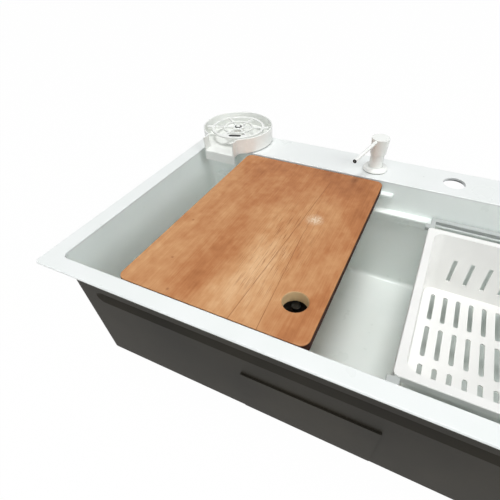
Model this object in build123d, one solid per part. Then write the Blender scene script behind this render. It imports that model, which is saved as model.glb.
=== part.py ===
from build123d import *
from math import pi, radians, sin, tan
import os

# A coated steel kitchen sink with its board, colander, cup rinser, soap pump and waste.
# Sizes are in millimetres. The origin is the middle of the bowl opening on the worktop plane,
# which is the underside of the rim. +X is to the right, +Y to the back wall and +Z is up.

# Rim and deck
opening_length = 700.0
opening_width = 360.0
side_rim = 25.0
front_rim = 22.0
rear_deck = 78.0
rim_thickness = 3.0
rim_corner_radius = 5.0
rim_edge_round = 1.2
seal_band = 10.0
seal_groove_width = 4.0
seal_groove_depth = 1.0

# Bowl
sheet = 1.2
bowl_corner_radius = 10.0
bowl_depth = 208.0
floor_round = 8.0
wall_lean = 8.0
floor_margin = 12.0
floor_border = 48.0
border_fall = 1.5
sump_fall = 2.5

# Ledge rails along the front and back walls
ledge_drop = 50.0
rail_width = 15.0
rail_height = 7.0
rail_end_gap = 20.0
rail_nose_round = 2.8

# Groove pressed into the front and back walls behind each rail
groove_drop = 62.0
groove_depth = 7.0
groove_mouth = 22.0
groove_floor = 10.0
groove_end_gap = 34.0

# Dark coat and damping pads on the outside of the bowl
coat = 1.8
coat_top_gap = 0.5
coat_edge_round = 3.5
pad_thickness = 3.0
pad_height = 93.0
pad_lift = 10.0
front_pad_length = 183.0
side_pad_length = 200.0
floor_pad_length = 190.0
floor_pad_width = 180.0
floor_pad_offset = 150.0

# Cutting board and the pressed rests under it
board_width = 253.0
board_length = 356.0
board_thickness = 18.0
board_drop = 1.0
board_from_left = 90.5
board_from_front = 1.2
board_corner_radius = 12.0
board_edge_round = 2.0
finger_hole_radius = 15.6
finger_hole_from_side = 35.0
finger_hole_from_front = 54.3
rest_length = 60.0
rest_depth = 10.0
rest_height = 9.0
rest_round = 5.5
rest_top_round = 2.5
rest_overhang = 10.0
seat_gap = 0.2

# Colander and its pull-out arms
colander_length = 240.0
colander_width = 286.0
colander_depth = 104.0
colander_from_right = 28.5
colander_rim = 11.0
colander_wall = 2.4
colander_taper = 14.0
colander_corner_radius = 6.0
colander_inner_radius = 16.0
floor_slot_width = 7.0
floor_slot_bridge = 14.0
floor_slot_columns = 9
floor_slot_rows = 3
wall_slot_width = 6.0
wall_slot_height = 42.0
wall_slot_lift = 22.0
wall_slot_pitch = 26.0
arm_width = 7.0
arm_height = 5.5
arm_clearance = 0.35
arm_skin = 2.0
arm_bar_depth = 10.3
arm_wall_gap = 2.5
arm_insertion = 70.0
arm_end_round = 1.5
arm_travel = 22.0
arm_tab_reach = 5.0
arm_tab_length = 10.5
arm_tab_gap = 0.6

# Cup rinser, with heights above the deck
rinser_from_left = 70.0
rinser_from_rear = 36.4
rinser_radius = 66.5
rinser_rim_height = 30.0
rinser_wall = 2.5
rinser_floor = 3.0
rinser_blend = 10.0
rinser_rim_round = 0.8
rinser_spout_width = 62.0
rinser_spout_reach = 75.6
rinser_lip_drop = 12.7
rinser_lip_round = 2.0
rinser_gasket_radius = 32.0
rinser_gasket_height = 2.5
grate_thickness = 3.5
grate_radius = 51.0
grate_ring_width = 5.0
grate_inner_radius = 28.5
grate_inner_width = 3.0
grate_hub_radius = 11.0
grate_hub_hole_radius = 6.5
grate_spoke_width = 3.5
grate_spoke_count = 6
grate_turn = 20.0
grate_tab_reach = 60.0
grate_tab_width = 7.0
grate_bar_radius = 42.0
grate_bar_width = 11.5
grate_round = 0.6
grate_pad_length = 23.0
grate_pad_width = 8.0
grate_pad_depth = 1.5
nozzle_radius = 4.2
nozzle_height = 5.5
nozzle_round = 1.6
nozzle_jet_radius = 0.6
nozzle_jet_ring = 1.7
nozzle_jet_count = 6
nozzle_seal_height = 4.2
nozzle_seal_gap = 0.2
rinser_travel = 8.0
pressed_gap = 3.5
plunger_flange_radius = 11.0
plunger_flange_height = 3.0
plunger_stem_radius = 5.0
plunger_disc_radius = 7.5
plunger_disc_height = 4.0
running_clearance = 0.08
stop_gap = 0.3
shank_radius = 10.4
shank_bore_radius = 8.0
shank_flange_radius = 17.0
shank_flange_height = 3.0
shank_shoulder = 4.5
inlet_radius = 8.33
inlet_bore_radius = 5.5
inlet_length = 18.0
inlet_step = 2.4
thread_gap = 0.1
hole_gap = 0.6
spring_wire = 1.2
spring_turns = 6
rinser_spring_length = 30.0
seat_thickness = 2.0
seat_hole_radius = 4.0
rinser_washer_radius = 19.0
washer_thickness = 2.0
rinser_nut_radius = 20.0
rinser_nut_height = 12.0

# Soap pump, with heights above the deck
dispenser_from_opening_middle = -30.5
dispenser_from_rear = 44.0
dispenser_flange_radius = 21.2
dispenser_flange_height = 5.0
dispenser_flange_edge = 1.4
dispenser_gasket_height = 1.2
dispenser_gasket_inset = 1.0
dispenser_shank_radius = 13.5
dispenser_bore_radius = 11.0
dispenser_collar_radius = 17.0
dispenser_collar_height = 2.0
dispenser_shank_length = 48.0
dispenser_washer_radius = 20.0
dispenser_nut_radius = 21.0
dispenser_nut_height = 9.0
neck_radius = 11.5
neck_bore_radius = 8.6
neck_spigot_length = 11.5
neck_gap = 0.4
neck_top_thickness = 3.0
head_skirt_height = 29.0
head_top = 57.0
head_top_radius = 15.0
head_skirt_radius = 13.3
head_roof = 3.0
head_round = 1.0
pump_travel = 14.0
pump_stem_radius = 4.0
spout_radius = 2.9
spout_bore_radius = 2.0
spout_reach = 71.0
spout_turn = -110.2
spout_slope = 13.0
spout_skin = 0.6
cylinder_radius = 8.0
cylinder_wall = 1.4
cylinder_top = 2.0
cylinder_length = 73.0
cylinder_floor = 3.0
cylinder_flange_drop = 10.0
cylinder_flange_height = 3.0
piston_drop = 14.0
piston_height = 6.0
piston_gap = 0.3
pump_spring_wire = 1.1
pump_spring_turns = 9
dip_tube_radius = 3.4
dip_tube_bore = 2.4
dip_tube_length = 100.0
bottle_radius = 24.0
bottle_neck_drop = 26.0
bottle_neck_wall = 2.6
bottle_shoulder = 58.0
bottle_length = 164.0
bottle_wall = 2.0

# Tap hole and the plate under it
tap_from_opening_middle = 100.0
tap_from_rear = 39.0
tap_hole_radius = 17.5
stiffener_length = 90.0
stiffener_width = 46.0
stiffener_thickness = 2.0

# Waste: strainer body, removable cup, nut and tailpiece
drain_from_opening_middle = -100.0
drain_behind_middle = 40.0
drain_hole_radius = 44.5
strainer_flange_radius = 57.0
strainer_flange_height = 1.5
strainer_inner_radius = 42.0
strainer_wall = 1.2
strainer_depth = 46.0
strainer_floor = 2.0
strainer_neck_radius = 22.0
strainer_neck_bore = 19.0
strainer_neck_length = 18.0
strainer_gasket_height = 3.0
strainer_washer_height = 1.0
strainer_nut_radius = 58.0
strainer_nut_height = 12.0
strainer_nut_lugs = 8
strainer_lug_width = 14.0
strainer_lug_reach = 4.0
sump_margin = 4.0
stopper_radius = 25.0
stopper_height = 5.0
cup_radius = 40.5
cup_height = 32.0
cup_wall = 1.0
cup_hole_radius = 2.0
cup_hole_pitch = 9.0
cup_hole_first_ring = 14.0
knob_stem_radius = 3.0
knob_radius = 9.0
knob_height = 8.0
knob_round = 2.0
tail_radius = 19.05
tail_wall = 1.2
tail_length = 48.0
tail_flange_radius = 21.5
tail_flange_height = 2.0
tail_collar_radius = 20.0
tail_collar_height = 6.0
tail_nut_radius = 27.0
tail_nut_grip = 12.0
tail_nut_lip = 4.0

# Heights and places that follow from the sizes above
deck_top = rim_thickness
floor_z = deck_top - bowl_depth
rail_top = deck_top - ledge_drop
groove_z = deck_top - groove_drop
half_length = opening_length / 2
half_width = opening_width / 2
lower_half_width = half_width - wall_lean
coat_out = sheet + coat
through = 2 * opening_length  # longer than any wall that a cut passes through
rear_edge = half_width + rear_deck
rim_left = -half_length - side_rim
sump_z = floor_z - border_fall - sump_fall
board_x = -half_length + board_from_left + board_width / 2
board_y = -half_width + board_from_front + board_length / 2
board_bottom = deck_top - board_drop - board_thickness
rest_top = board_bottom - seat_gap
colander_x = half_length - colander_from_right - colander_length / 2
arm_bottom = rail_top + seat_gap
colander_top = arm_bottom + arm_height + arm_clearance + arm_skin
beam_bottom = arm_bottom - arm_clearance - arm_skin
beam_x = (colander_length - colander_rim) / 2
rinser_place = Pos(rim_left + rinser_from_left, rear_edge - rinser_from_rear, deck_top)
dispenser_place = Pos(dispenser_from_opening_middle, rear_edge - dispenser_from_rear, deck_top)
tap_place = Pos(tap_from_opening_middle, rear_edge - tap_from_rear, 0)
drain_place = Pos(drain_from_opening_middle, drain_behind_middle, sump_z)


def block(length, width, low, high, corner=0.0):
    """A standing block about the Z axis, with rounded upright corners where a radius is given."""
    outline = RectangleRounded(length, width, corner) if corner else Rectangle(length, width)
    return extrude(Pos(0, 0, low) * outline, high - low)


def ring(outer, inner, low, high):
    """A plain ring or tube about the Z axis."""
    return extrude(Pos(0, 0, low) * (Circle(outer) - Circle(inner)), high - low)


def disc(radius, low, high):
    """A plain cylinder about the Z axis."""
    return extrude(Pos(0, 0, low) * Circle(radius), high - low)


def turned(*points):
    """A solid of revolution from a closed outline of (radius, height) points."""
    return revolve(make_face(Plane.XZ * Polyline(*points, close=True)), Axis.Z)


def coil(radius, wire, low, high, turns):
    """A compression spring about the Z axis that fills the height from low to high."""
    rise = high - low - wire
    path = Pos(0, 0, low + wire / 2) * Helix(rise / turns, rise, radius)
    section = Plane(path @ 0, z_dir=path % 0) * Circle(wire / 2)
    return sweep(section, path=path)


# Bowl, rim and coat

def basin(grow, bottom_round):
    """The bowl's hollow, grown outwards by a wall, from the worktop plane down."""
    corner = bowl_corner_radius + grow
    length = opening_length + 2 * grow
    mouth = RectangleRounded(length, opening_width + 2 * grow, corner)
    foot = RectangleRounded(length, 2 * (lower_half_width + grow), corner)
    walls = loft([mouth, Pos(0, 0, floor_z - grow) * foot], ruled=True)
    walls = fillet(walls.edges().group_by(Axis.Z)[0], bottom_round)
    margin = Rectangle(opening_length - 2 * floor_margin, 2 * (lower_half_width - floor_margin))
    crease = Rectangle(opening_length - 2 * floor_border, 2 * (lower_half_width - floor_border))
    sump_side = 2 * (strainer_flange_radius + sump_margin)
    sump = Pos(drain_from_opening_middle, drain_behind_middle) * Rectangle(sump_side, sump_side)
    crease_z = floor_z - border_fall - grow
    border = loft([Pos(0, 0, floor_z - grow) * margin, Pos(0, 0, crease_z) * crease], ruled=True)
    dish = loft([Pos(0, 0, crease_z) * crease, Pos(0, 0, sump_z - grow) * sump], ruled=True)
    return walls + border + dish


def wall_at(z):
    """How far the leaning front and back walls stand from the middle of the bowl at a height."""
    return half_width - wall_lean * z / floor_z


def pressed_groove(side, grow):
    """A tapered groove pressed in from outside, grown by a wall or shrunk by a lining."""
    face = wall_at(groove_z) + sheet
    spread = groove_mouth - groove_floor
    mouth_length = opening_length - 2 * groove_end_gap
    section = []
    for depth in (groove_depth, -coat_out):
        height = groove_mouth - spread * depth / groove_depth + 2 * grow
        length = mouth_length - spread * depth / groove_depth + 2 * grow
        inset = depth + grow if depth > 0 else depth
        plane = Plane((0, side * (face - inset), groove_z), x_dir=(1, 0, 0), z_dir=(0, side, 0))
        section.append(plane * SlotOverall(length, height))
    return loft(section, ruled=True)


def board_rest(x, side):
    """A pressed bump on the front or back wall that carries one corner of the board."""
    outline = SlotOverall(rest_length, 2 * rest_depth)
    bump = extrude(Pos(x, side * half_width, rest_top - rest_height) * outline, rest_height)
    bump = fillet(bump.edges().group_by(Axis.Z)[0], rest_round)
    return fillet(bump.edges().group_by(Axis.Z)[-1], rest_top_round)


def bowl_shell():
    shell = basin(sheet, floor_round + sheet)
    hollow = basin(0, floor_round)
    rests = []
    for side in (-1, 1):
        shell -= pressed_groove(side, 0)
        hollow -= pressed_groove(side, sheet)
        for end in (-1, 1):
            rests.append(board_rest(board_x + end * (board_width / 2 - rest_overhang), side))
    shell -= hollow
    mid_wall = basin(sheet / 2, floor_round)
    shell += [rest & mid_wall for rest in rests]
    return shell - drain_place * Cylinder(drain_hole_radius, through)


def rim_plate():
    middle = (rear_deck - front_rim) / 2
    width = opening_width + front_rim + rear_deck
    length = opening_length + 2 * side_rim
    plate = Pos(0, middle) * block(length, width, 0, rim_thickness, rim_corner_radius)
    plate -= block(opening_length, opening_width, -rim_thickness, 2 * rim_thickness, bowl_corner_radius)
    plate = fillet(plate.edges().group_by(Axis.Z)[-1], rim_edge_round)
    groove_length = length - 2 * seal_band
    groove_width = width - 2 * seal_band
    groove = block(groove_length, groove_width, 0, seal_groove_depth)
    groove -= block(
        groove_length - 2 * seal_groove_width, groove_width - 2 * seal_groove_width, 0, seal_groove_depth
    )
    plate -= Pos(0, middle) * groove
    for place, radius in (
        (rinser_place, shank_radius + hole_gap),
        (dispenser_place, dispenser_shank_radius + hole_gap),
        (tap_place, tap_hole_radius),
    ):
        plate -= place * Cylinder(radius, through)
    return plate


def ledge_rail(side):
    length = opening_length - 2 * rail_end_gap
    rail = block(length, rail_width, rail_top - rail_height, rail_top)
    nose = rail.edges().filter_by(Axis.X).group_by(Axis.Y)[0 if side > 0 else -1]
    ends = rail.edges().filter_by(Axis.Z).group_by(Axis.Y)[0 if side > 0 else -1]
    rail = fillet(nose + ends, rail_nose_round)
    hollow = basin(0, floor_round) - pressed_groove(side, sheet)
    return hollow & (Pos(0, side * (half_width - rail_width / 2)) * rail)


def undercoat():
    skin = basin(coat_out, coat_edge_round)
    shell = basin(sheet, floor_round + sheet)
    for side in (-1, 1):
        skin -= pressed_groove(side, -coat)
        shell -= pressed_groove(side, 0)
    skin -= shell
    skin -= block(through, through, -coat_top_gap, coat_top_gap)
    nut_room = strainer_nut_radius + strainer_lug_reach + sump_margin
    return skin - drain_place * Cylinder(nut_room, through)


def pad(length, width, height, x, y, z):
    """A damping pad: the part of the layer over the coat that lies inside a box."""
    layer = basin(coat_out + pad_thickness, coat_edge_round) - basin(coat_out, coat_edge_round)
    return layer & (Pos(x, y, z) * Box(length, width, height))


def wall_pads():
    z = floor_z - coat_out + pad_lift + pad_height / 2
    y = lower_half_width + coat_out
    x = half_length + coat_out
    deep = 2 * (coat + pad_thickness + wall_lean)
    front = pad(front_pad_length, deep, pad_height, 0, -y, z)
    rear = pad(front_pad_length, deep, pad_height, 0, y, z)
    left = pad(deep, side_pad_length, pad_height, -x, 0, z)
    right = pad(deep, side_pad_length, pad_height, x, 0, z)
    return front, rear, left, right


def floor_pad():
    depth = 2 * (pad_lift + coat_out + pad_thickness + border_fall + sump_fall)
    return pad(floor_pad_length, floor_pad_width, depth, floor_pad_offset, 0, floor_z)


def tap_stiffener():
    plate = block(stiffener_length, stiffener_width, -stiffener_thickness, 0, rim_corner_radius)
    return tap_place * (plate - Cylinder(tap_hole_radius, through))


# Board and colander

def cutting_board():
    board_top = board_bottom + board_thickness
    board = block(board_width, board_length, board_bottom, board_top, board_corner_radius)
    hole_x = board_width / 2 - finger_hole_from_side
    hole_y = finger_hole_from_front - board_length / 2
    board -= Pos(hole_x, hole_y, board_bottom) * Cylinder(finger_hole_radius, through)
    edges = board.edges().group_by(Axis.Z)
    board = fillet(edges[0] + edges[-1], board_edge_round)
    return Pos(board_x, board_y) * board


def colander():
    inner_length = colander_length - 2 * colander_rim
    inner_width = colander_width - 2 * colander_rim
    bottom = colander_top - colander_depth

    def bucket(grow, low):
        section = []
        for z, taper in ((colander_top, 0), (low, colander_taper)):
            length = inner_length + 2 * grow - 2 * taper
            width = inner_width + 2 * grow - 2 * taper
            section.append(Pos(0, 0, z) * RectangleRounded(length, width, colander_inner_radius + grow))
        return loft(section, ruled=True)

    rim = block(colander_length, colander_width, beam_bottom, colander_top, colander_corner_radius)
    body = rim + bucket(colander_wall, bottom)
    top_edges = body.edges().group_by(Axis.Z)[-1]
    body = fillet(top_edges, arm_end_round) - bucket(0, bottom + colander_wall)
    for x in (-beam_x, beam_x):
        channel = Box(arm_width + 2 * arm_clearance, through, arm_height + 2 * arm_clearance)
        body -= Pos(x, 0, arm_bottom + arm_height / 2) * channel
        for end in (-1, 1):
            side_slot = Box(colander_rim, 2 * arm_travel, arm_height + 2 * arm_clearance)
            slot_x = x + colander_rim / 2 if x > 0 else x - colander_rim / 2
            body -= Pos(slot_x, end * colander_width / 2, arm_bottom + arm_height / 2) * side_slot
    flat_length = inner_length - 2 * colander_taper - 2 * colander_inner_radius
    flat_width = inner_width - 2 * colander_taper - 2 * colander_inner_radius
    pitch_x = flat_length / (floor_slot_columns - 1)
    pitch_y = (flat_width + floor_slot_bridge) / floor_slot_rows
    slot = SlotOverall(pitch_y - floor_slot_bridge, floor_slot_width, rotation=90)
    floor_places = GridLocations(pitch_x, pitch_y, floor_slot_columns, floor_slot_rows)
    slots = Sketch() + [place * slot for place in floor_places]
    body -= extrude(Pos(0, 0, bottom - colander_wall) * slots, colander_depth)
    low = bottom + wall_slot_lift
    high = low + wall_slot_height
    for place in GridLocations(0, wall_slot_pitch, 1, int(flat_width / wall_slot_pitch)):
        body -= place * block(through, wall_slot_width, low, high)
    for place in GridLocations(wall_slot_pitch, 0, int(flat_length / wall_slot_pitch), 1):
        body -= place * block(wall_slot_width, through, low, high)
    return Pos(colander_x) * body


def colander_arm(side):
    """A U-shaped arm: a bar that lies on the ledge rail and two prongs in the rim's channels."""
    outer = wall_at(arm_bottom) - arm_wall_gap
    reach = outer - colander_width / 2 + arm_insertion
    high = arm_bottom + arm_height
    bar_y = side * (outer - arm_bar_depth / 2)
    arm = Pos(0, bar_y) * block(2 * beam_x + arm_width, arm_bar_depth, arm_bottom, high, arm_end_round)
    for x in (-beam_x, beam_x):
        arm += Pos(x, side * (outer - reach / 2)) * block(arm_width, reach, arm_bottom, high, arm_end_round)
        tab_x = (colander_length / 2 + arm_tab_reach + beam_x) / 2
        tab_y = colander_width / 2 + arm_tab_gap + arm_tab_length / 2
        tab = block(2 * (tab_x - beam_x), arm_tab_length, arm_bottom, high)
        arm += Pos(tab_x if x > 0 else -tab_x, side * tab_y) * tab
    return Pos(colander_x) * arm


# Cup rinser

shank_top = rinser_gasket_height + rinser_floor + shank_flange_height
shoulder_z = shank_top - shank_shoulder
disc_top = shoulder_z - stop_gap
disc_bottom = disc_top - plunger_disc_height
spring_low = disc_bottom - rinser_spring_length
grate_bottom = shank_top + pressed_gap + rinser_travel + plunger_flange_height
grate_top = grate_bottom + grate_thickness
grate_bar_turn = Rot(0, 0, grate_turn - 3 * 180 / grate_spoke_count)  # midway between two spokes


def rinser_outline(grow, reach):
    """The rinser's plan: a round cup that runs into a straight spout towards the front."""
    radius = rinser_radius + grow
    half_spout = rinser_spout_width / 2 + grow
    plan = Circle(radius) + Pos(0, -reach / 2) * Rectangle(2 * half_spout, reach)
    root_y = -(radius**2 - half_spout**2) ** 0.5
    roots = [plan.vertices().sort_by_distance((x, root_y))[0] for x in (-half_spout, half_spout)]
    return fillet(roots, rinser_blend - grow)


def rinser_body():
    low = rinser_gasket_height
    floor_top = low + rinser_floor
    body = extrude(Pos(0, 0, low) * rinser_outline(0, rinser_spout_reach), rinser_rim_height - low)
    hollow = rinser_outline(-rinser_wall, rinser_spout_reach + rinser_radius)
    body -= extrude(Pos(0, 0, floor_top) * hollow, rinser_rim_height)
    lip_y = rinser_wall / 2 - rinser_spout_reach
    body += Pos(0, lip_y) * block(rinser_spout_width, rinser_wall, -rinser_lip_drop, floor_top)
    fold = body.edges().filter_by(Axis.X).sort_by_distance((0, -rinser_spout_reach, floor_top))[0]
    body = fillet([fold], rinser_lip_round)
    body = fillet(body.edges().group_by(Axis.Z)[-1], rinser_rim_round)
    return rinser_place * (body - Cylinder(shank_radius + thread_gap, through))


def grate_bar():
    """The bar that carries the dark pad, from the middle of one spoke to the middle of the next."""
    spread = tan(radians(180 / grate_spoke_count))
    near = grate_bar_radius - grate_bar_width / 2
    far = grate_bar_radius + grate_bar_width / 2
    corners = ((near, -near * spread), (far, -far * spread), (far, far * spread), (near, near * spread))
    return grate_bar_turn * make_face(Polyline(*corners, close=True))


def rinser_grate():
    plan = Circle(grate_radius) - Circle(grate_radius - grate_ring_width)
    plan += Circle(grate_inner_radius) - Circle(grate_inner_radius - grate_inner_width)
    plan += Circle(grate_hub_radius) - Circle(grate_hub_hole_radius)
    spoke_start = (grate_hub_radius + grate_hub_hole_radius) / 2
    spoke_end = grate_radius - grate_ring_width / 2
    spoke = Pos((spoke_start + spoke_end) / 2) * Rectangle(spoke_end - spoke_start, grate_spoke_width)
    for index in range(grate_spoke_count):
        plan += Rot(0, 0, grate_turn + index * 360 / grate_spoke_count) * spoke
    tab_length = grate_tab_reach - spoke_end
    tab = Pos(spoke_end + tab_length / 2) * Rectangle(tab_length, grate_tab_width)
    for turn in (0, 180):
        plan += Rot(0, 0, grate_turn + turn) * tab
    plan += grate_bar() & Circle(grate_radius)
    grate = extrude(Pos(0, 0, grate_bottom) * plan, grate_thickness)
    grate = chamfer(grate.edges().group_by(Axis.Z)[-1], grate_round)
    return rinser_place * (grate - grate_pad_solid())


def grate_pad_solid():
    low = grate_top - grate_pad_depth
    outline = Pos(grate_bar_radius) * SlotOverall(grate_pad_length, grate_pad_width, rotation=90)
    return extrude(Pos(0, 0, low) * grate_bar_turn * outline, grate_pad_depth)


def rinser_nozzle():
    top = grate_bottom + nozzle_height
    tip = disc(nozzle_radius, grate_bottom, top)
    tip = fillet(tip.edges().group_by(Axis.Z)[-1], nozzle_round)
    jets = PolarLocations(nozzle_jet_ring, nozzle_jet_count)
    tip -= [Pos(0, 0, top) * place * Cylinder(nozzle_jet_radius, nozzle_round) for place in jets]
    return rinser_place * tip


def nozzle_seal():
    outer = grate_hub_hole_radius - nozzle_seal_gap
    inner = nozzle_radius + nozzle_seal_gap
    return rinser_place * ring(outer, inner, grate_bottom, grate_bottom + nozzle_seal_height)


def rinser_plunger():
    flange_low = grate_bottom - plunger_flange_height
    return rinser_place * turned(
        (0, grate_bottom),
        (plunger_flange_radius, grate_bottom),
        (plunger_flange_radius, flange_low),
        (plunger_stem_radius, flange_low),
        (plunger_stem_radius, disc_top),
        (plunger_disc_radius, disc_top),
        (plunger_disc_radius, disc_bottom),
        (0, disc_bottom),
    )


def rinser_shank():
    guide = plunger_stem_radius + running_clearance
    seat_low = spring_low - seat_thickness
    inlet_top = seat_low - inlet_step
    inlet_end = inlet_top - inlet_length
    return rinser_place * turned(
        (guide, shank_top),
        (shank_flange_radius, shank_top),
        (shank_flange_radius, shank_top - shank_flange_height),
        (shank_radius, shank_top - shank_flange_height),
        (shank_radius, inlet_top),
        (inlet_radius, inlet_top),
        (inlet_radius, inlet_end),
        (inlet_bore_radius, inlet_end),
        (inlet_bore_radius, seat_low),
        (shank_bore_radius, seat_low),
        (shank_bore_radius, shoulder_z),
        (guide, shoulder_z),
    )


def rinser_spring():
    radius = (plunger_disc_radius + seat_hole_radius) / 2
    low = spring_low + stop_gap
    return rinser_place * coil(radius, spring_wire, low, disc_bottom - stop_gap, spring_turns)


def spring_seat():
    return rinser_place * ring(shank_bore_radius, seat_hole_radius, spring_low - seat_thickness, spring_low)


def rinser_gasket():
    return rinser_place * ring(rinser_gasket_radius, shank_radius + hole_gap, 0, rinser_gasket_height)


def rinser_washer():
    low = -rim_thickness - washer_thickness
    return rinser_place * ring(rinser_washer_radius, shank_radius + hole_gap, low, -rim_thickness)


def hex_nut(radius, bore, high, height):
    return extrude(Pos(0, 0, high - height) * (RegularPolygon(radius, 6) - Circle(bore)), height)


def rinser_nut():
    high = -rim_thickness - washer_thickness
    return rinser_place * hex_nut(rinser_nut_radius, shank_radius + thread_gap, high, rinser_nut_height)


# Soap pump

collar_top = dispenser_gasket_height + dispenser_collar_height
head_roof_z = head_top - head_roof
neck_top = head_roof_z - pump_travel - stop_gap
cylinder_z = -cylinder_top
cylinder_end = cylinder_z - cylinder_length
piston_top = -piston_drop
piston_end = piston_top - piston_height
cylinder_bore = cylinder_radius - cylinder_wall


def dispenser_gasket():
    outer = dispenser_flange_radius - dispenser_gasket_inset
    return dispenser_place * ring(outer, dispenser_shank_radius + hole_gap, 0, dispenser_gasket_height)


def dispenser_flange():
    low = dispenser_gasket_height
    top = low + dispenser_flange_height
    recess = dispenser_collar_radius + thread_gap
    hole = neck_radius + neck_gap
    edge = low + dispenser_flange_edge
    outline = Polyline((dispenser_flange_radius, edge), (dispenser_flange_radius, low), (recess, low))
    outline += Polyline((recess, low), (recess, collar_top), (hole, collar_top), (hole, top))
    crown = (dispenser_flange_radius + hole) / 2
    outline += Polyline((hole, top), (crown, top))
    outline += TangentArc((crown, top), (dispenser_flange_radius, edge), tangent=(1, 0))
    return dispenser_place * revolve(make_face(Plane.XZ * outline), Axis.Z)


def dispenser_shank():
    low = dispenser_gasket_height
    end = low - dispenser_shank_length
    return dispenser_place * turned(
        (dispenser_bore_radius, collar_top),
        (dispenser_collar_radius, collar_top),
        (dispenser_collar_radius, low),
        (dispenser_shank_radius, low),
        (dispenser_shank_radius, end),
        (dispenser_bore_radius, end),
    )


def dispenser_washer():
    low = -rim_thickness - washer_thickness
    return dispenser_place * ring(
        dispenser_washer_radius, dispenser_shank_radius + hole_gap, low, -rim_thickness
    )


def dispenser_nut():
    high = -rim_thickness - washer_thickness
    bore = dispenser_shank_radius + thread_gap
    return dispenser_place * hex_nut(dispenser_nut_radius, bore, high, dispenser_nut_height)


def pump_neck():
    shoulder = collar_top + stop_gap
    spigot = dispenser_bore_radius - neck_gap
    guide = pump_stem_radius + running_clearance
    return dispenser_place * turned(
        (guide, neck_top),
        (neck_radius, neck_top),
        (neck_radius, shoulder),
        (spigot, shoulder),
        (spigot, shoulder - neck_spigot_length),
        (neck_bore_radius, shoulder - neck_spigot_length),
        (neck_bore_radius, neck_top - neck_top_thickness),
        (guide, neck_top - neck_top_thickness),
    )


spout_height = head_top - spout_radius - head_round
spout_root = neck_radius + neck_gap + spout_skin + spout_radius * sin(radians(spout_slope))
spout_axis = Rot(0, 0, spout_turn) * Pos(spout_root, 0, spout_height) * Rot(0, 90 + spout_slope, 0)
spout_length = spout_reach - spout_root


def spout_bar(radius):
    bar = Pos(0, 0, spout_length / 2) * Cylinder(radius, spout_length)
    return spout_axis * bar


def pump_head():
    hollow = neck_radius + neck_gap
    cap = turned(
        (0, head_top),
        (head_top_radius, head_top),
        (head_skirt_radius, head_skirt_height),
        (0, head_skirt_height),
    )
    rims = [e for e in cap.edges() if e.geom_type == GeomType.CIRCLE]
    cap = fillet(rims, head_round)
    cap -= disc(hollow, 0, head_roof_z)
    return dispenser_place * (cap - spout_bar(spout_radius))


def pump_spout():
    return dispenser_place * (spout_bar(spout_radius) - spout_bar(spout_bore_radius))


def pump_stem():
    piston = cylinder_bore - piston_gap
    return dispenser_place * turned(
        (0, head_roof_z),
        (pump_stem_radius, head_roof_z),
        (pump_stem_radius, piston_top),
        (piston, piston_top),
        (piston, piston_end),
        (0, piston_end),
    )


def pump_cylinder():
    flange = dispenser_bore_radius
    high = -cylinder_flange_drop
    low = high - cylinder_flange_height
    floor_top = cylinder_end + cylinder_floor
    return dispenser_place * turned(
        (cylinder_bore, cylinder_z),
        (cylinder_radius, cylinder_z),
        (cylinder_radius, high),
        (flange, high),
        (flange, low),
        (cylinder_radius, low),
        (cylinder_radius, cylinder_end),
        (dip_tube_bore, cylinder_end),
        (dip_tube_bore, floor_top),
        (cylinder_bore, floor_top),
    )


def pump_spring():
    radius = (cylinder_bore + dip_tube_bore) / 2
    low = cylinder_end + cylinder_floor + stop_gap
    return dispenser_place * coil(radius, pump_spring_wire, low, piston_end - stop_gap, pump_spring_turns)


def dip_tube():
    low = cylinder_end - dip_tube_length
    return dispenser_place * ring(dip_tube_radius, dip_tube_bore, low, cylinder_end)


def soap_bottle():
    bore = dispenser_shank_radius + thread_gap
    neck = bore + bottle_neck_wall
    top = -bottle_neck_drop
    neck_low = dispenser_gasket_height - dispenser_shank_length
    end = top - bottle_length
    inside = bottle_radius - bottle_wall
    return dispenser_place * turned(
        (bore, top),
        (neck, top),
        (neck, neck_low),
        (bottle_radius, -bottle_shoulder),
        (bottle_radius, end),
        (0, end),
        (0, end + bottle_wall),
        (inside, end + bottle_wall),
        (inside, -bottle_shoulder - bottle_wall),
        (bore, neck_low - bottle_wall),
    )


# Waste, with heights above the sump

neck_end = -strainer_depth - strainer_neck_length
strainer_outer = strainer_inner_radius + strainer_wall + thread_gap
gasket_low = -sheet - strainer_gasket_height
washer_low = gasket_low - strainer_washer_height
stopper_low = strainer_floor - strainer_depth + stop_gap
cup_low = stopper_low + stopper_height


def strainer_body():
    outer = strainer_inner_radius + strainer_wall
    return drain_place * turned(
        (strainer_inner_radius, strainer_flange_height),
        (strainer_flange_radius, strainer_flange_height),
        (strainer_flange_radius, 0),
        (outer, 0),
        (outer, -strainer_depth),
        (strainer_neck_radius, -strainer_depth),
        (strainer_neck_radius, neck_end),
        (strainer_neck_bore, neck_end),
        (strainer_neck_bore, strainer_floor - strainer_depth),
        (strainer_inner_radius, strainer_floor - strainer_depth),
    )


def strainer_gasket():
    return drain_place * ring(strainer_flange_radius, strainer_outer, gasket_low, -sheet)


def strainer_washer():
    return drain_place * ring(strainer_flange_radius, strainer_outer, washer_low, gasket_low)


def strainer_nut():
    outline = Circle(strainer_nut_radius)
    lug = Pos(strainer_nut_radius) * Rectangle(2 * strainer_lug_reach, strainer_lug_width)
    for index in range(strainer_nut_lugs):
        outline += Rot(0, 0, index * 360 / strainer_nut_lugs) * lug
    outline -= Circle(strainer_outer)
    return drain_place * extrude(Pos(0, 0, washer_low - strainer_nut_height) * outline, strainer_nut_height)


def strainer_stopper():
    return drain_place * ring(stopper_radius, knob_stem_radius, stopper_low, cup_low)


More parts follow.
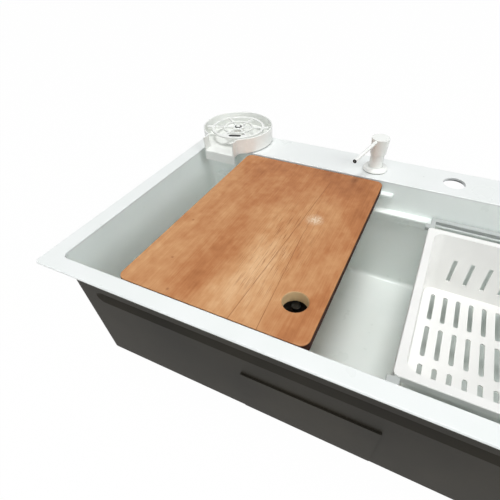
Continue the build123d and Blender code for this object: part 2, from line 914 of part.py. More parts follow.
def strainer_cup():
    cup = disc(cup_radius, cup_low, cup_low + cup_height)
    cup -= disc(cup_radius - cup_wall, cup_low + cup_wall, cup_low + 2 * cup_height)
    reach = cup_radius - cup_wall - 2 * cup_hole_radius
    for index in range(int((reach - cup_hole_first_ring) / cup_hole_pitch) + 1):
        radius = cup_hole_first_ring + index * cup_hole_pitch
        places = PolarLocations(radius, round(2 * pi * radius / cup_hole_pitch))
        cup -= [place * disc(cup_hole_radius, cup_low - cup_wall, cup_low + 2 * cup_wall) for place in places]
    return drain_place * (cup - Cylinder(knob_stem_radius, through))


def strainer_knob():
    top = cup_low + cup_height + knob_height / 2
    stem = disc(knob_stem_radius, stopper_low, top)
    grip = disc(knob_radius, top - knob_height, top)
    rims = [e for e in grip.edges() if e.geom_type == GeomType.CIRCLE]
    return drain_place * (stem + fillet(rims, knob_round))


def tailpiece():
    bore = tail_radius - tail_wall
    collar_low = neck_end - tail_flange_height - tail_collar_height
    return drain_place * turned(
        (bore, neck_end),
        (tail_flange_radius, neck_end),
        (tail_flange_radius, neck_end - tail_flange_height),
        (tail_collar_radius, neck_end - tail_flange_height),
        (tail_collar_radius, collar_low),
        (tail_radius, collar_low),
        (tail_radius, neck_end - tail_length),
        (bore, neck_end - tail_length),
    )


def tail_nut():
    high = neck_end + tail_nut_grip
    low = neck_end - tail_flange_height
    nut = hex_nut(tail_nut_radius, strainer_neck_radius + thread_gap, high, high - low)
    lip = hex_nut(tail_nut_radius, tail_collar_radius + thread_gap, low, tail_nut_lip)
    return drain_place * (nut + lip)


front_sound_pad, rear_sound_pad, left_sound_pad, right_sound_pad = wall_pads()

pieces = {
    "rim_plate": rim_plate(),
    "bowl_shell": bowl_shell(),
    "front_ledge_rail": ledge_rail(-1),
    "rear_ledge_rail": ledge_rail(1),
    "undercoat": undercoat(),
    "front_sound_pad": front_sound_pad,
    "rear_sound_pad": rear_sound_pad,
    "left_sound_pad": left_sound_pad,
    "right_sound_pad": right_sound_pad,
    "floor_sound_pad": floor_pad(),
    "tap_stiffener": tap_stiffener(),
    "cutting_board": cutting_board(),
    "colander": colander(),
    "front_colander_arm": colander_arm(-1),
    "rear_colander_arm": colander_arm(1),
    "rinser_body": rinser_body(),
    "rinser_grate": rinser_grate(),
    "grate_pad": rinser_place * grate_pad_solid(),
    "rinser_nozzle": rinser_nozzle(),
    "nozzle_seal": nozzle_seal(),
    "rinser_plunger": rinser_plunger(),
    "rinser_spring": rinser_spring(),
    "spring_seat": spring_seat(),
    "rinser_shank": rinser_shank(),
    "rinser_gasket": rinser_gasket(),
    "rinser_washer": rinser_washer(),
    "rinser_nut": rinser_nut(),
    "dispenser_flange": dispenser_flange(),
    "dispenser_gasket": dispenser_gasket(),
    "dispenser_shank": dispenser_shank(),
    "dispenser_washer": dispenser_washer(),
    "dispenser_nut": dispenser_nut(),
    "pump_neck": pump_neck(),
    "pump_head": pump_head(),
    "pump_spout": pump_spout(),
    "pump_stem": pump_stem(),
    "pump_cylinder": pump_cylinder(),
    "pump_spring": pump_spring(),
    "dip_tube": dip_tube(),
    "soap_bottle": soap_bottle(),
    "strainer_body": strainer_body(),
    "strainer_gasket": strainer_gasket(),
    "strainer_washer": strainer_washer(),
    "strainer_nut": strainer_nut(),
    "strainer_stopper": strainer_stopper(),
    "strainer_cup": strainer_cup(),
    "strainer_knob": strainer_knob(),
    "tailpiece": tailpiece(),
    "tail_nut": tail_nut(),
}

os.makedirs("parts", exist_ok=True)
for name, solid in pieces.items():
    export_step(solid, f"parts/{name}.step")
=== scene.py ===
import bpy
import math
from mathutils import Matrix, Vector


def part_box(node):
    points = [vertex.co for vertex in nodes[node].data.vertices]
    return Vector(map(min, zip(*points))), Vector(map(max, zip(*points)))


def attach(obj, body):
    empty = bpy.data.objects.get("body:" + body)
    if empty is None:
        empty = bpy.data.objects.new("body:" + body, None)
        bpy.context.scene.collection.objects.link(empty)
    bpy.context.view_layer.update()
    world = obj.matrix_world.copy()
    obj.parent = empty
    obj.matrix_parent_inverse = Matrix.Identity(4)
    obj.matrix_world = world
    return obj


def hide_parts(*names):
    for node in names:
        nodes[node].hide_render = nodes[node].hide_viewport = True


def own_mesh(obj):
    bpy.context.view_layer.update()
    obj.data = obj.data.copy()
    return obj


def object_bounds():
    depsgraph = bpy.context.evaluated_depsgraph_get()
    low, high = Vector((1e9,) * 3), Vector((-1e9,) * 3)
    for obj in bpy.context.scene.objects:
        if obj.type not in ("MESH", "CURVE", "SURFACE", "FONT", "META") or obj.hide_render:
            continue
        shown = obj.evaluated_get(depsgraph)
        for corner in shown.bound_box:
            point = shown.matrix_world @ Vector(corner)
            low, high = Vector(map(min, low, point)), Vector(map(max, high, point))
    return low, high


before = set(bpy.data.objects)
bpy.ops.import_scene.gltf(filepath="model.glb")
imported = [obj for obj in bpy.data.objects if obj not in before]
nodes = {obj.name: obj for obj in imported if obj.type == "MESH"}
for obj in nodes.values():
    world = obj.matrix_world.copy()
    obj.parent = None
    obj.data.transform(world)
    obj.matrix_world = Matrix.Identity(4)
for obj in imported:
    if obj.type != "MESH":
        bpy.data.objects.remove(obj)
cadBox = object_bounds()
mm = 0.001
print("frame loaded:", len(nodes), "nodes")


def toLinear(hexCode):  # sRGB hex to linear RGBA
    channels = [int(hexCode[i:i + 2], 16) / 255 for i in (1, 3, 5)]
    return [c / 12.92 if c <= 0.04045 else ((c + 0.055) / 1.055) ** 2.4 for c in channels] + [1.0]


def addNode(tree, kind, sockets=None, **settings):  # sockets take a plain value or another node's output
    node = tree.nodes.new(kind)
    for name, value in settings.items():
        setattr(node, name, value)
    for name, value in (sockets or {}).items():
        if isinstance(value, bpy.types.NodeSocket):
            tree.links.new(value, node.inputs[name])
        else:
            node.inputs[name].default_value = value
    return node


def startMaterial(name, **shaderValues):
    material = bpy.data.materials.new(name)
    material.use_nodes = True
    tree = material.node_tree
    shader = tree.nodes["Principled BSDF"]
    for socket, value in shaderValues.items():
        shader.inputs[socket.replace("_", " ")].default_value = value
    place = addNode(tree, "ShaderNodeTexCoord").outputs["Object"]  # the part's own frame, in metres
    return material, tree, shader, place


def setRamp(node, *stops):  # (position, hex colour) stops on a colour ramp
    ramp = node.color_ramp
    while len(ramp.elements) < len(stops):
        ramp.elements.new(1.0)
    for element, (position, colour) in zip(ramp.elements, stops):
        element.position = position
        element.color = toLinear(colour)


# Camera: the photograph's own viewpoint, found from the straight edges of the bowl, rim and board

cameraSet = {
    "place": (0.0520, -0.3804, 0.3180),
    "azimuth": 25.55,    # degrees left of +Y
    "tilt": 43.53,       # degrees below the horizon
    "roll": -0.80,
    "focal": 360.8,      # in pixels of a frame 500 wide
    "middle": (272.2, 264.8),
    "frame": 500,
    "sensor": 36.0,
    "nearest": 0.01,
}


def placeCamera(c):
    azimuth, tilt, roll = (math.radians(c[k]) for k in ("azimuth", "tilt", "roll"))
    ahead = Vector((-math.sin(azimuth) * math.cos(tilt), math.cos(azimuth) * math.cos(tilt), -math.sin(tilt)))
    level = ahead.cross(Vector((0, 0, 1))).normalized()
    right = level * math.cos(roll) + level.cross(ahead) * math.sin(roll)
    up = right.cross(ahead)
    lens = bpy.data.cameras.new("photoCamera")
    lens.sensor_width = c["sensor"]
    lens.lens = c["focal"] * c["sensor"] / c["frame"]
    lens.shift_x = (c["frame"] / 2 - c["middle"][0]) / c["frame"]
    lens.shift_y = (c["middle"][1] - c["frame"] / 2) / c["frame"]
    lens.clip_start = c["nearest"]
    camera = bpy.data.objects.new("photoCamera", lens)
    turn = Matrix((right, up, -ahead)).transposed().to_4x4()
    camera.matrix_world = Matrix.Translation(c["place"]) @ turn
    bpy.context.scene.collection.objects.link(camera)
    bpy.context.scene.camera = camera


placeCamera(cameraSet)
print("camera placed")

# Studio: pale floor and backdrop, a soft light above, a wide one at the right and a weak one in front

studioSet = {
    "floor": "#F4F4F2",
    "floorSize": 16.0,
    "floorGap": 1 * mm,    # below the lowest point of the part
    "floorGlow": 0.99,     # share of plain white that the camera sees in the floor
    "sky": "#F3F6F8",
    "skyLight": 0.22,
    "aim": (0.0, 0.0, 0.0),
    "lamps": (
        # name, place, size, watts, colour
        ("overheadSoftbox", (0.02, -0.42, 3.40), 1.2, 71.0, "#FDFDFD"),
        ("rightSoftbox", (3.00, -0.40, 2.20), 2.4, 51.0, "#FDFDFE"),
        ("frontFill", (-0.10, -1.60, 0.70), 1.2, 7.5, "#FDFDFE"),
    ),
}


def seenRays(tree):  # 1 for what the camera sees directly, in a reflection or through glass
    rays = addNode(tree, "ShaderNodeLightPath").outputs
    seen = rays["Is Camera Ray"]
    for other in ("Is Glossy Ray", "Is Transmission Ray"):
        seen = addNode(tree, "ShaderNodeMath", {0: seen, 1: rays[other]}, operation="MAXIMUM").outputs[0]
    return seen


def setStudio(s):
    world = bpy.data.worlds.new("paleStudio")
    bpy.context.scene.world = world
    world.use_nodes = True
    tree = world.node_tree
    tree.nodes.clear()
    light = addNode(tree, "ShaderNodeBackground", {"Color": toLinear(s["sky"]), "Strength": s["skyLight"]})
    seen = addNode(tree, "ShaderNodeBackground", {"Color": (1, 1, 1, 1), "Strength": 1.0})
    mixed = addNode(tree, "ShaderNodeMixShader", {0: seenRays(tree), 1: light.outputs[0], 2: seen.outputs[0]})
    addNode(tree, "ShaderNodeOutputWorld", {"Surface": mixed.outputs[0]})

    half = s["floorSize"] / 2
    low = cadBox[0].z - s["floorGap"]
    corners = ((-half, -half), (half, -half), (half, half), (-half, half))
    mesh = bpy.data.meshes.new("studioFloor")
    mesh.from_pydata([(x, y, low) for x, y in corners], [], [(0, 1, 2, 3)])
    floor = bpy.data.objects.new("studioFloor", mesh)
    bpy.context.scene.collection.objects.link(floor)
    material = bpy.data.materials.new("paleFloor")
    material.use_nodes = True
    tree = material.node_tree
    tree.nodes.clear()
    matt = addNode(tree, "ShaderNodeBsdfDiffuse", {"Color": toLinear(s["floor"])})
    glow = addNode(tree, "ShaderNodeEmission", {"Color": (1, 1, 1, 1), "Strength": 1.0})
    share = addNode(tree, "ShaderNodeMath", {0: seenRays(tree), 1: s["floorGlow"]}, operation="MULTIPLY")
    both = addNode(tree, "ShaderNodeMixShader", {0: share.outputs[0], 1: matt.outputs[0], 2: glow.outputs[0]})
    addNode(tree, "ShaderNodeOutputMaterial", {"Surface": both.outputs[0]})
    mesh.materials.append(material)

    for name, place, size, watts, colour in s["lamps"]:
        lamp = bpy.data.lights.new(name, "AREA")
        lamp.shape = "DISK"
        lamp.size = size
        lamp.energy = watts
        lamp.color = toLinear(colour)[:3]
        holder = bpy.data.objects.new(name, lamp)
        holder.location = place
        holder.rotation_euler = (Vector(s["aim"]) - Vector(place)).to_track_quat("-Z", "Y").to_euler()
        bpy.context.scene.collection.objects.link(holder)
    bpy.context.scene.view_settings.view_transform = "Standard"


setStudio(studioSet)
print("studio set")

# Materials

noiseSpan = (0.3, 0.7)     # most values of a noise lie between these


def giveSkin(tree, shader, tone, relief, c, colours):  # colour and gloss follow one noise, bump another
    tint = addNode(tree, "ShaderNodeValToRGB", {"Fac": tone})
    setRamp(tint, *zip(c.get("toneSpan", noiseSpan), colours))
    tree.links.new(tint.outputs["Color"], shader.inputs["Base Color"])
    gloss = addNode(tree, "ShaderNodeMapRange", {
        "Value": tone, "From Min": noiseSpan[0], "From Max": noiseSpan[1],
        "To Min": c["roughness"][0], "To Max": c["roughness"][1]})
    tree.links.new(gloss.outputs[0], shader.inputs["Roughness"])
    strength, depth = c["relief"]
    bump = addNode(tree, "ShaderNodeBump", {"Height": relief, "Strength": strength, "Distance": depth})
    tree.links.new(bump.outputs[0], shader.inputs["Normal"])


coatSet = {
    "rim": ("#EAEEEC", "#EDF0EF"),     # painted shade: the rim drawn darker than the bowl, though it is the same coat
    # painted light: the bowl drawn paler than the rim, so the inside of the bowl comes out brighter
    "bowl": ("#F5FCF8", "#F8FEFB"),
    "toneSpan": (0.35, 0.65),
    "mottle": 60 * mm,
    "peel": 2.4 * mm,     # orange peel of a baked coat, drawn a little coarse so that it shows
    "relief": (0.05, 0.4 * mm),
    "roughness": (0.26, 0.36),
    "ior": 1.5,
}


def bakedWhiteCoat(c, where):  # baked coat on pressed steel: satin, cool white, with a soft orange peel
    material, tree, shader, place = startMaterial("bakedWhiteCoat" + where.title(), IOR=c["ior"])
    mottle = addNode(tree, "ShaderNodeTexNoise", {"Vector": place, "Scale": 1 / c["mottle"], "Detail": 3.0})
    peel = addNode(tree, "ShaderNodeTexNoise", {"Vector": place, "Scale": 1 / c["peel"], "Detail": 1.0})
    giveSkin(tree, shader, mottle.outputs["Fac"], peel.outputs["Fac"], c, c[where])
    return material


darkCoatSet = {
    "colours": ("#24211A", "#312D24"),
    "cloud": 120 * mm,
    "grain": 1.6 * mm,     # droplets of the sprayed coat
    "relief": (0.25, 0.5 * mm),
    "roughness": 0.62,
    "specular": 0.25,
}


def sprayedSoundCoat(c):  # sprayed bitumen-like coat: matt, warm dark grey, with a fine droplet grain
    material, tree, shader, place = startMaterial("sprayedSoundCoat", Roughness=c["roughness"],
                                                  Specular_IOR_Level=c["specular"])
    cloud = addNode(tree, "ShaderNodeTexNoise", {"Vector": place, "Scale": 1 / c["cloud"], "Detail": 4.0})
    grain = addNode(tree, "ShaderNodeTexNoise", {"Vector": place, "Scale": 1 / c["grain"], "Detail": 2.0})
    tint = addNode(tree, "ShaderNodeValToRGB", {"Fac": cloud.outputs["Fac"]})
    setRamp(tint, *zip(noiseSpan, c["colours"]))
    tree.links.new(tint.outputs["Color"], shader.inputs["Base Color"])
    strength, depth = c["relief"]
    bump = addNode(tree, "ShaderNodeBump", {
        "Height": grain.outputs["Fac"], "Strength": strength, "Distance": depth})
    tree.links.new(bump.outputs[0], shader.inputs["Normal"])
    return material


woodSet = {
    "tones": ((0.0, "#8B5029"), (0.30, "#B2764A"), (0.55, "#C89567"), (0.80, "#DDB387"), (1.0, "#EBCCA4")),
    "level": 0.44,
    "sizes": {               # across and along the grain, and detail
        "blotch": (55 * mm, 85 * mm, 4.0),
        "mottle": (11 * mm, 15 * mm, 4.0),
        "figure": (9 * mm, 110 * mm, 3.0),
        "fibre": (1.8 * mm, 45 * mm, 3.0),
        "hair": (1.0 * mm, 34 * mm, 2.0),      # drawn a little coarse so that it shows
        "fleck": (1.4 * mm, 3 * mm, 2.0),
    },
    "weights": {"blotch": 0.66, "mottle": 0.36, "figure": 0.24, "fibre": 0.24},
    "zones": (               # x, y, half width, half length in mm, and how much paler: partly the wood's own patchy tone, partly painted sheen (paler towards the front middle) and painted shade (darker towards the rear)
        (-108, -115, 66, 125, 0.30), (-85, -30, 55, 90, 0.10), (-170, -90, 42, 130, -0.18),
        (-185, 75, 65, 85, -0.12), (-110, 165, 190, 95, -0.26), (-22, -150, 45, 65, -0.06),
        (-15, 70, 60, 130, -0.20), (-245, -140, 40, 80, 0.08),
    ),
    "hairZone": (-97, -35, 75, 190, 1.3),
    "hairSpan": (0.55, 0.66),
    "hairShare": 0.60,
    "hairColour": "#8A5431",
    "glueLines": ((-92.9, 0.043, 150), (-79.4, -0.081, -5)),   # x in mm, drift along y, and the rear end
    "glueFade": 12,
    "glueBreaks": (0.28, 0.44),
    "glueWidth": 0.75 * mm,
    "glueShare": 0.8,
    "glueColour": "#7E4A2A",
    "knots": ((-187.7, -169.6, 3.4), (-237.8, -41.0, 2.8), (-216.4, -120.7, 2.8)),
    "knotShare": 0.7,
    "knotColour": "#8C5433",
    "wornSpot": (-75, 32, 17, 17, 1.0),
    "wornFlecks": (0.42, 0.62, 0.25),       # where the flecks start and are full, and the share between them
    "wornColour": "#EFDCC0",
    "sideShadeColour": "#33180F",                # painted shade: the board's outside side faces drawn near-black brown, as they look in shadow
    "edgeSpan": (0.80, 0.30),               # upright part of the normal where an edge starts and is full
    "edgeMatt": 0.45,                       # how much rougher the sawn edges are
    "cutColour": "#D2B68C",                 # bare cut wall of the finger hole
    "hole": (-41.5, -124.5, 17.0),
    "roughness": (0.40, 0.60),
    "relief": (0.14, 0.3 * mm),
    "ior": 1.48,
    "specular": 0.22,
}


def oiledHardwood(c):  # oiled hardwood: satin, orange brown, cloudy, with long fibres, checks and worn spots
    material, tree, shader, place = startMaterial("oiledHardwood", IOR=c["ior"],
                                                  Specular_IOR_Level=c["specular"])
    axes = addNode(tree, "ShaderNodeSeparateXYZ", {0: place}).outputs

    def nearSpot(x, y, halfWidth, halfLength, peak):  # peak at the spot, falling softly to its outline
        scaled = addNode(tree, "ShaderNodeMapping", {
            "Vector": place, "Location": (-x / halfWidth, -y / halfLength, 0),
            "Scale": (1 / (halfWidth * mm), 1 / (halfLength * mm), 0)})
        away = addNode(tree, "ShaderNodeVectorMath", {0: scaled.outputs[0]}, operation="LENGTH")
        return addNode(tree, "ShaderNodeMapRange", {
            "Value": away.outputs["Value"], "From Min": 1.0, "From Max": 0.0, "To Max": peak},
            interpolation_type="SMOOTHSTEP").outputs[0]

    noise = {}
    for name, (wide, long, detail) in c["sizes"].items():
        scaled = addNode(tree, "ShaderNodeMapping", {
            "Vector": place, "Scale": (1 / wide, 1 / long, 1 / wide)})
        noise[name] = addNode(tree, "ShaderNodeTexNoise", {
            "Vector": scaled.outputs[0], "Scale": 1.0, "Detail": detail}).outputs["Fac"]
    tone = c["level"] - sum(c["weights"].values()) / 2
    for name, weight in c["weights"].items():
        tone = addNode(tree, "ShaderNodeMath", {0: noise[name], 1: weight, 2: tone},
                       operation="MULTIPLY_ADD").outputs[0]
    # Patches: the wood's own tone, with painted sheen and painted shade laid in
    for zone in c["zones"]:
        tone = addNode(tree, "ShaderNodeMath", {0: tone, 1: nearSpot(*zone)}, operation="ADD").outputs[0]
    ramp = addNode(tree, "ShaderNodeValToRGB", {"Fac": tone})
    setRamp(ramp, *c["tones"])

    marks = []               # share and colour of each mark, laid over the tone in turn
    dark = addNode(tree, "ShaderNodeMapRange", {
        "Value": noise["hair"], "From Min": c["hairSpan"][0], "From Max": c["hairSpan"][1],
        "To Max": c["hairShare"]})
    hair = addNode(tree, "ShaderNodeMath", {0: dark.outputs[0], 1: nearSpot(*c["hairZone"])},
                   operation="MULTIPLY")
    marks.append((hair.outputs[0], c["hairColour"]))
    for x, drift, rear in c["glueLines"]:
        straight = addNode(tree, "ShaderNodeMath", {0: axes[1], 1: -drift, 2: axes[0]},
                           operation="MULTIPLY_ADD")
        offset = addNode(tree, "ShaderNodeMath", {0: straight.outputs[0], 1: x * mm}, operation="SUBTRACT")
        away = addNode(tree, "ShaderNodeMath", {0: offset.outputs[0]}, operation="ABSOLUTE")
        drawn = addNode(tree, "ShaderNodeMapRange", {
            "Value": away.outputs[0], "From Min": c["glueWidth"], "From Max": 0.0, "To Max": c["glueShare"]})
        ended = addNode(tree, "ShaderNodeMapRange", {
            "Value": axes[1], "From Min": (rear + c["glueFade"]) * mm,
            "From Max": (rear - c["glueFade"]) * mm})
        broken = addNode(tree, "ShaderNodeMapRange", {
            "Value": noise["mottle"], "From Min": c["glueBreaks"][0], "From Max": c["glueBreaks"][1],
            "To Max": ended.outputs[0]})
        line = addNode(tree, "ShaderNodeMath", {0: drawn.outputs[0], 1: broken.outputs[0]},
                       operation="MULTIPLY")
        marks.append((line.outputs[0], c["glueColour"]))
    for x, y, radius in c["knots"]:
        marks.append((nearSpot(x, y, radius, radius, c["knotShare"]), c["knotColour"]))
    start, full, between = c["wornFlecks"]
    fleck = addNode(tree, "ShaderNodeMapRange", {
        "Value": noise["fleck"], "From Min": start, "From Max": full, "To Min": between})
    worn = addNode(tree, "ShaderNodeMath", {0: fleck.outputs[0], 1: nearSpot(*c["wornSpot"])},
                   operation="MULTIPLY")
    marks.append((worn.outputs[0], c["wornColour"]))
    colour = ramp.outputs[0]
    for share, mark in marks:
        colour = addNode(tree, "ShaderNodeMix", {0: share, 6: colour, 7: toLinear(mark)},
                         data_type="RGBA").outputs[2]

    # Side faces get painted shade, a near-black brown; the finger hole's wall keeps the bare cut colour
    normal = addNode(tree, "ShaderNodeTexCoord").outputs["Normal"]
    rise = addNode(tree, "ShaderNodeSeparateXYZ", {0: normal}).outputs[2]
    upright = addNode(tree, "ShaderNodeMath", {0: rise}, operation="ABSOLUTE")
    side = addNode(tree, "ShaderNodeMapRange", {
        "Value": upright.outputs[0], "From Min": c["edgeSpan"][0], "From Max": c["edgeSpan"][1]})
    x, y, radius = c["hole"]
    centred = addNode(tree, "ShaderNodeMapping", {
        "Vector": place, "Location": (-x * mm, -y * mm, 0), "Scale": (1, 1, 0)})
    fromHole = addNode(tree, "ShaderNodeVectorMath", {0: centred.outputs[0]}, operation="LENGTH")
    inHole = addNode(tree, "ShaderNodeMapRange", {
        "Value": fromHole.outputs["Value"], "From Min": (radius + 1) * mm, "From Max": radius * mm})
    cut = addNode(tree, "ShaderNodeMix", {
        0: inHole.outputs[0], 6: toLinear(c["sideShadeColour"]), 7: toLinear(c["cutColour"])}, data_type="RGBA")
    colour = addNode(tree, "ShaderNodeMix", {0: side.outputs[0], 6: colour, 7: cut.outputs[2]},
                     data_type="RGBA")
    tree.links.new(colour.outputs[2], shader.inputs["Base Color"])
    gloss = addNode(tree, "ShaderNodeMapRange", {
        "Value": noise["blotch"], "To Min": c["roughness"][0], "To Max": c["roughness"][1]})
    sawn = addNode(tree, "ShaderNodeMath", {0: side.outputs[0], 1: c["edgeMatt"], 2: gloss.outputs[0]},
                   operation="MULTIPLY_ADD", use_clamp=True)
    tree.links.new(sawn.outputs[0], shader.inputs["Roughness"])
    strength, depth = c["relief"]
    bump = addNode(tree, "ShaderNodeBump", {
        "Height": noise["fibre"], "Strength": strength, "Distance": depth})
    tree.links.new(bump.outputs[0], shader.inputs["Normal"])
    return material


# Moulded pieces: colours of the skin, size of its slight clouding, gloss, and the texture of the mould
mouldedSets = {
    "mouldedAbs": {"colours": ("#EEF0EC", "#F3F5F1"), "cloud": 30 * mm, "roughness": (0.20, 0.30),
                   "texture": 1.2 * mm, "relief": (0.03, 0.3 * mm)},      # glossy white housings
    "mouldedPolypropylene": {"colours": ("#EFEFEC", "#F4F4F1"), "cloud": 50 * mm, "roughness": (0.36, 0.48),
                             "texture": 1.4 * mm, "relief": (0.06, 0.3 * mm)},    # satin white basket
    "mouldedGreyNylon": {"colours": ("#AFB4B2", "#BABEBC"), "cloud": 20 * mm, "roughness": (0.40, 0.50),
                         "texture": 1.0 * mm, "relief": (0.08, 0.3 * mm)},        # dull light grey arms
    "turnedAcetal": {"colours": ("#E2E0D8", "#EBE9E2"), "cloud": 10 * mm, "roughness": (0.35, 0.45),
                     "texture": 0.8 * mm, "relief": (0.04, 0.3 * mm)},            # waxy off-white stems
    "mouldedBlackNylon": {"colours": ("#1E1E1F", "#29292B"), "cloud": 15 * mm, "roughness": (0.45, 0.58),
                          "texture": 1.0 * mm, "relief": (0.12, 0.3 * mm)},       # grainy near-black nuts
    "mouldedRubber": {"colours": ("#0E0E0E", "#171717"), "cloud": 6 * mm, "roughness": (0.62, 0.78),
                      "texture": 0.7 * mm, "relief": (0.15, 0.3 * mm)},           # matt black seals
}
plasticIor = 1.5


def moulded(name):  # a moulded or turned plastic skin: slight clouding, uneven gloss and a fine mould texture
    c = mouldedSets[name]
    material, tree, shader, place = startMaterial(name, IOR=plasticIor)
    cloud = addNode(tree, "ShaderNodeTexNoise", {"Vector": place, "Scale": 1 / c["cloud"], "Detail": 3.0})
    skin = addNode(tree, "ShaderNodeTexNoise", {"Vector": place, "Scale": 1 / c["texture"], "Detail": 1.0})
    giveSkin(tree, shader, cloud.outputs["Fac"], skin.outputs["Fac"], c, c["colours"])
    return material


# Metal pieces: colours, roughness, and the spacing of the marks that the tool left, along x, y and z in mm
metalSets = {
    "gunmetalSteelAndShade": {"colours": ("#4F4C48", "#5B5854"),     # dark gunmetal finish with dull lines round it, drawn dark enough to stand for the shade under the board seen through its finger hole: partly painted shade
                         "roughness": (0.34, 0.48), "marks": (9, 9, 0.8)},
    "chromePlate": {"colours": ("#D3D5D7", "#E0E2E3"),     # bright, with soft mirror reflections
                    "roughness": (0.05, 0.12), "marks": (20, 20, 20)},
    "machinedBrass": {"colours": ("#B98F48", "#D0AA63"),     # warm yellow with fine turning lines
                      "roughness": (0.24, 0.38), "marks": (12, 12, 0.7)},
    "zincPlate": {"colours": ("#A9AEB2", "#C3C8CB"),     # pale grey and cloudy
                  "roughness": (0.32, 0.46), "marks": (4, 4, 4)},
    "drawnSpringWire": {"colours": ("#9C9EA0", "#B8BABC"),     # smooth mid grey wire
                        "roughness": (0.24, 0.34), "marks": (2, 2, 2)},
}
metalRelief = (0.06, 0.2 * mm)


def worked(name):  # bare or plated metal: full reflection, broken by tool marks and handling
    c = metalSets[name] | {"relief": metalRelief}
    material, tree, shader, place = startMaterial(name, Metallic=1.0)
    scaled = addNode(tree, "ShaderNodeMapping", {
        "Vector": place, "Scale": [1 / (size * mm) for size in c["marks"]]})
    marks = addNode(tree, "ShaderNodeTexNoise", {"Vector": scaled.outputs[0], "Scale": 1.0, "Detail": 3.0})
    giveSkin(tree, shader, marks.outputs["Fac"], marks.outputs["Fac"], c, c["colours"])
    return material


bottleSet = {
    "colour": "#E3E7E1",
    "band": 18 * mm,
    "roughness": (0.36, 0.56),
    "relief": (0.15, 0.6 * mm),
    "through": 0.45,     # share of the light that passes
}


def blownPolythene(c):  # blown natural polythene: milky, lets light through, slightly wavy
    material, tree, shader, place = startMaterial("blownPolythene", Base_Color=toLinear(c["colour"]),
                                                  IOR=plasticIor, Transmission_Weight=c["through"])
    wave = addNode(tree, "ShaderNodeTexNoise", {"Vector": place, "Scale": 1 / c["band"], "Detail": 2.0})
    gloss = addNode(tree, "ShaderNodeMapRange", {
        "Value": wave.outputs["Fac"], "To Min": c["roughness"][0], "To Max": c["roughness"][1]})
    tree.links.new(gloss.outputs[0], shader.inputs["Roughness"])
    strength, depth = c["relief"]
    bump = addNode(tree, "ShaderNodeBump", {
        "Height": wave.outputs["Fac"], "Strength": strength, "Distance": depth})
    tree.links.new(bump.outputs[0], shader.inputs["Normal"])
    return material


def dress(material, *names):
    for name in names:
        for slot in nodes[name].material_slots:
            slot.material = material


finishes = {name: moulded(name) for name in mouldedSets} | {name: worked(name) for name in metalSets}
# One white coat in two copies: the rim's darker (painted shade), the bowl's paler (painted light)
dress(bakedWhiteCoat(coatSet, "rim"), "rim_plate")
dress(bakedWhiteCoat(coatSet, "bowl"), "bowl_shell", "front_ledge_rail", "rear_ledge_rail")
dress(sprayedSoundCoat(darkCoatSet), "undercoat", "front_sound_pad", "rear_sound_pad", "left_sound_pad",
      "right_sound_pad", "floor_sound_pad")
dress(oiledHardwood(woodSet), "cutting_board")
dress(finishes["mouldedPolypropylene"], "colander")
dress(finishes["mouldedGreyNylon"], "front_colander_arm", "rear_colander_arm")
dress(finishes["mouldedAbs"], "rinser_body", "rinser_grate", "rinser_nozzle", "dispenser_flange", "pump_neck",
      "pump_head", "pump_spout")
dress(finishes["mouldedRubber"], "grate_pad", "nozzle_seal", "rinser_gasket", "dispenser_gasket",
      "strainer_gasket", "strainer_stopper")
dress(finishes["turnedAcetal"], "rinser_plunger", "rinser_shank", "spring_seat", "pump_stem")
dress(finishes["mouldedBlackNylon"], "dispenser_shank", "dispenser_nut", "strainer_washer", "strainer_nut")
dress(finishes["drawnSpringWire"], "rinser_spring", "pump_spring")
dress(finishes["machinedBrass"], "rinser_nut")
dress(finishes["zincPlate"], "tap_stiffener", "rinser_washer", "dispenser_washer")
# Waste parts in the dark steel, partly painted shade for the view through the finger hole
dress(finishes["gunmetalSteelAndShade"], "strainer_body", "strainer_cup", "strainer_knob")
dress(finishes["chromePlate"], "tailpiece", "tail_nut")
dress(blownPolythene(bottleSet), "pump_cylinder", "dip_tube", "soap_bottle")
print("materials given")

sharpAngle = 40     # degrees; an edge that turns more stays sharp


def addPiece(name, points, faces, finish, body):  # a closed skin, smooth but for its sharp edges
    mesh = bpy.data.meshes.new(name)
    mesh.from_pydata(points, [], faces)
    mesh.materials.append(finishes[finish])
    mesh.shade_smooth()
    mesh.set_sharp_from_angle(angle=math.radians(sharpAngle))
    piece = bpy.data.objects.new(name, mesh)
    bpy.context.scene.collection.objects.link(piece)
    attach(piece, body)
    return piece


# Spout tip: a soft black sleeve pressed on the end of the pump's spout
tipSet = {
    "axis": (-30.5, 214.0),      # of the pump, in mm
    "end": (69.52, 43.09),       # distance from that axis, and height, of the spout's end
    "turn": -110.2,              # degrees round the axis
    "slope": 13.0,
    "section": (                 # radius, and distance past the spout's end
        (1.5, -0.6), (1.5, 0.5), (1.8, 0.9), (2.6, 0.9), (2.95, 0.7), (3.1, 0.3),
        (3.1, -1.0), (3.0, -1.3), (2.85, -1.3), (2.85, 0.0), (1.9, 0.0), (1.9, -0.6),
    ),
    "steps": 40,
}


def spoutTip(c):
    turn, slope = math.radians(c["turn"]), math.radians(c["slope"])
    out = Vector((math.cos(turn), math.sin(turn), 0))
    ahead = out * math.cos(slope) - Vector((0, 0, math.sin(slope)))
    across = ahead.cross(Vector((0, 0, 1))).normalized()
    above = across.cross(ahead)
    end = Vector((*c["axis"], c["end"][1])) + out * c["end"][0]
    points = []
    for step in range(c["steps"]):
        angle = 2 * math.pi * step / c["steps"]
        spoke = across * math.cos(angle) + above * math.sin(angle)
        points += [(end + ahead * past + spoke * radius) * mm for radius, past in c["section"]]
    ringSize, total = len(c["section"]), len(points)
    faces = []
    for first in range(0, total, ringSize):
        following = (first + ringSize) % total
        for k in range(ringSize):
            other = (k + 1) % ringSize
            faces.append((first + k, following + k, following + other, first + other))
    addPiece("spout_tip", points, faces, "mouldedRubber", "pump_top")


spoutTip(tipSet)

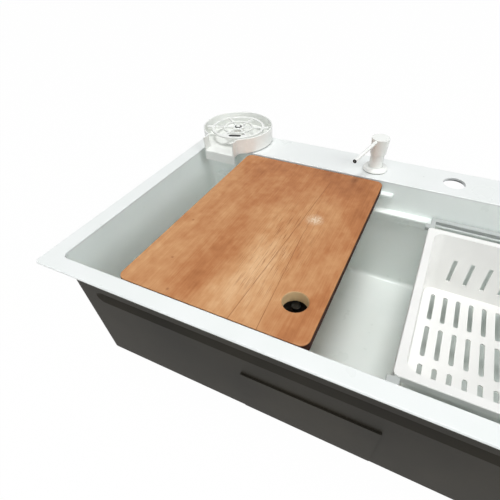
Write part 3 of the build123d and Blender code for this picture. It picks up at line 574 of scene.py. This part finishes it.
# Threads that show under the deck and the bowl, in mm
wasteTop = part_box("strainer_body")[1].z / mm
threadSet = {
    "dispenser_thread": {"axis": (-30.5, 214.0), "radius": 13.5, "low": -22.4, "high": -11.4, "pitch": 2.0,
                         "depth": 0.9, "finish": "mouldedBlackNylon", "slot": "dark_plastic"},
    "rinser_thread": {"axis": (-305.0, 221.6), "radius": 10.4, "low": -39.8, "high": -14.6, "pitch": 1.8,
                      "depth": 0.8, "finish": "turnedAcetal", "slot": "acetal"},
    "strainer_thread": {"axis": (-100.0, 40.0), "radius": 43.2, "low": wasteTop - 45.0,
                        "high": wasteTop - 20.2, "pitch": 3.2, "depth": 1.1,
                        "finish": "gunmetalSteelAndShade", "slot": "waste_steel"},
}
threadSteps = 64          # points in each turn
threadSunk = 0.2          # how far the ridge's root lies in the shank
threadHalves = (0.40, 0.08)     # half the ridge's width at its root and its crest, in pitches


def thread(name, axis, radius, low, high, pitch, depth, finish, slot):  # a ridge that runs out at its ends
    count = int((high - low - pitch) / pitch * threadSteps)
    root, crest = threadHalves
    points = []
    for step in range(count + 1):
        angle = 2 * math.pi * step / threadSteps
        middle = low + pitch / 2 + pitch * step / threadSteps
        grow = min(1.0, step / threadSteps * 2, (count - step) / threadSteps * 2)     # full after half a turn
        top = depth * grow
        for reach, rise in ((-threadSunk, -root), (top, -crest), (top, crest), (-threadSunk, root)):
            points.append(((axis[0] + (radius + reach) * math.cos(angle)) * mm,
                           (axis[1] + (radius + reach) * math.sin(angle)) * mm, (middle + rise * pitch) * mm))
    faces = [(0, 1, 2, 3), tuple(4 * count + k for k in (3, 2, 1, 0))]
    for first in range(0, 4 * count, 4):
        for k in range(4):
            other = (k + 1) % 4
            faces.append((first + k, first + k + 4, first + other + 4, first + other))
    addPiece(name, points, faces, finish, "sink")


for name, values in threadSet.items():
    thread(name, **values)
print("tip and threads added")

# Springs: coils with closed ends
springSet = {
    # the solid that it stands for, its joint and travel, wire in mm, and turns between the closed ends
    "rinser_coil": {"node": "rinser_spring", "joint": "grate_press", "travel": 8.0, "wire": 1.2, "turns": 5},
    "pump_coil": {"node": "pump_spring", "joint": "pump_press", "travel": 14.0, "wire": 1.1, "turns": 8},
}
wireSides = 10
turnSteps = 36


def spring(name, node, joint, travel, wire, turns):
    low, high = (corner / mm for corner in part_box(node))
    middle = (low + high) / 2
    radius = (high.x - low.x - wire) / 2
    height = high.z - low.z
    count = (turns + 2) * turnSteps                                  # one closed turn at each end
    points = []
    for step in range(count + 1):
        turn = step / turnSteps
        openShare = min(max(turn - 1, 0), turns) / turns             # of the height between the closed ends
        closedTurns = min(turn, 1) + max(turn - turns - 1, 0)
        z = low.z + wire / 2 + closedTurns * wire + openShare * (height - 3 * wire)
        out = Vector((math.cos(2 * math.pi * turn), math.sin(2 * math.pi * turn), 0))
        for side in range(wireSides):
            angle = 2 * math.pi * side / wireSides
            reach = radius + wire / 2 * math.cos(angle)
            onAxis = Vector((middle.x, middle.y, z + wire / 2 * math.sin(angle)))
            points.append(onAxis * mm + out * reach * mm)
    faces = [tuple(range(wireSides)), tuple(range(count * wireSides, (count + 1) * wireSides))[::-1]]
    for first in range(0, count * wireSides, wireSides):
        for k in range(wireSides):
            other = (k + 1) % wireSides
            faces.append((first + k, first + wireSides + k, first + wireSides + other, first + other))
    piece = addPiece(name, points, faces, "drawnSpringWire", "sink")
    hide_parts(node)
    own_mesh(piece)


for name, values in springSet.items():
    spring(name, **values)
print("springs wound")
